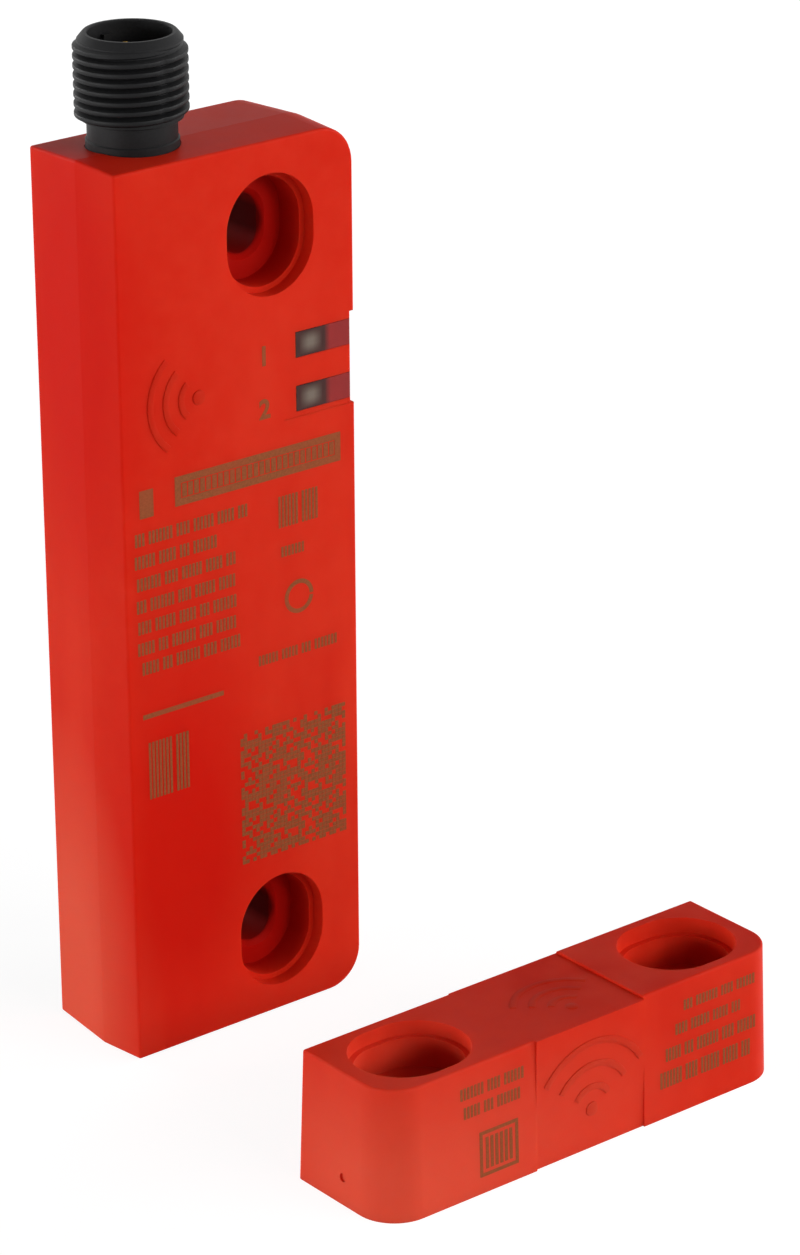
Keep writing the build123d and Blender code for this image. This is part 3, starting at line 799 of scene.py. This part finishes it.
def stage_floor():
    """Wide pale floor that keeps a soft shadow and goes over into the white behind it."""
    finish = Finish("studio_floor", {"Specular IOR Level": 0.1})
    dust = finish.noise(30.0, 2.0)
    finish.done(finish.blend(dust, shade(236, 236, 236), shade(240, 240, 240)), 0.8, finish.relief(dust, 0.02, 0.2))
    seen = sum(finish.add("ShaderNodeLightPath", output=kind) for kind in WHITE_FOR)
    distance = finish.add("ShaderNodeVectorMath", {"operation": "LENGTH"}, {0: finish.place}, "Value")
    rise = finish.spread(distance, FLOOR_WHITE_START, FLOOR_WHITE_END)
    share = seen * (FLOOR_WHITE_NEAR + rise * (1 - FLOOR_WHITE_NEAR))
    grey = Value(finish, finish.shader.outputs["BSDF"])
    glow = finish.add("ShaderNodeEmission", None, {"Strength": FLOOR_GLOW})
    finish.feed(finish.surface, finish.add("ShaderNodeMixShader", None, {0: share, 1: grey, 2: glow}))
    bm = bmesh.new()
    bmesh.ops.create_grid(bm, x_segments=1, y_segments=1, size=FLOOR_HALF)
    mesh = bpy.data.meshes.new("floor")
    bm.to_mesh(mesh)
    bm.free()
    mesh.materials.append(finish.material)
    floor = bpy.data.objects.new("floor", mesh)
    scene.collection.objects.link(floor)


def soft_light(name, place, target, width, height, power):
    """Wide soft lamp that looks at a point."""
    lamp = bpy.data.lights.new(name, "AREA")
    lamp.shape = "RECTANGLE"
    lamp.size = width
    lamp.size_y = height
    lamp.energy = power
    holder = bpy.data.objects.new(name, lamp)
    holder.location = place
    holder.rotation_euler = (Vector(target) - Vector(place)).to_track_quat("-Z", "Y").to_euler()
    scene.collection.objects.link(holder)


def surroundings():
    """White for the eye and for gloss, and a weaker light that falls off overhead."""
    world = bpy.data.worlds.new("studio")
    scene.world = world
    world.use_nodes = True
    tree = world.node_tree
    tree.nodes.clear()
    place = tree.nodes.new("ShaderNodeTexCoord")
    parts = tree.nodes.new("ShaderNodeSeparateXYZ")
    tree.links.new(place.outputs["Generated"], parts.inputs[0])
    height = tree.nodes.new("ShaderNodeMapRange")
    height.inputs["From Min"].default_value = HORIZON_HEIGHT
    height.inputs["From Max"].default_value = OVERHEAD_HEIGHT
    height.inputs["To Min"].default_value = HORIZON_LIGHT
    height.inputs["To Max"].default_value = OVERHEAD_LIGHT
    tree.links.new(parts.outputs["Z"], height.inputs["Value"])
    rays = tree.nodes.new("ShaderNodeLightPath")
    seen = rays.outputs[WHITE_FOR[0]]
    for kind in WHITE_FOR[1:]:
        either = tree.nodes.new("ShaderNodeMath")
        either.operation = "MAXIMUM"
        tree.links.new(seen, either.inputs[0])
        tree.links.new(rays.outputs[kind], either.inputs[1])
        seen = either.outputs[0]
    level = tree.nodes.new("ShaderNodeMix")
    tree.links.new(seen, level.inputs[0])
    tree.links.new(height.outputs["Result"], level.inputs[2])
    level.inputs[3].default_value = 1.0
    glow = tree.nodes.new("ShaderNodeBackground")
    glow.inputs["Color"].default_value = (1.0, 1.0, 1.0, 1.0)
    tree.links.new(level.outputs[0], glow.inputs["Strength"])
    output = tree.nodes.new("ShaderNodeOutputWorld")
    tree.links.new(glow.outputs[0], output.inputs["Surface"])


def photo_camera():
    """Camera where the photograph was taken from."""
    level = math.cos(CAMERA_PITCH)
    ahead = Vector((math.sin(CAMERA_YAW) * level, math.cos(CAMERA_YAW) * level, -math.sin(CAMERA_PITCH)))
    right = Vector((math.cos(CAMERA_YAW), -math.sin(CAMERA_YAW), 0))
    above = right.cross(ahead)
    right_turned = right * math.cos(CAMERA_ROLL) + above * math.sin(CAMERA_ROLL)
    above_turned = above * math.cos(CAMERA_ROLL) - right * math.sin(CAMERA_ROLL)
    lens = bpy.data.cameras.new("photo_camera")
    lens.sensor_width = CAMERA_SENSOR
    lens.lens = CAMERA_LENS
    lens.clip_start = CAMERA_CLIP
    holder = bpy.data.objects.new("photo_camera", lens)
    turn = Matrix((right_turned, above_turned, -ahead)).transposed().to_4x4()
    holder.matrix_world = Matrix.Translation(Vector(CAMERA_PLACE) * MM) @ turn
    scene.collection.objects.link(holder)
    scene.camera = holder


stage_floor()
surroundings()
for lamp_settings in LAMPS:
    soft_light(*lamp_settings)
photo_camera()
scene.view_settings.view_transform = "Standard"
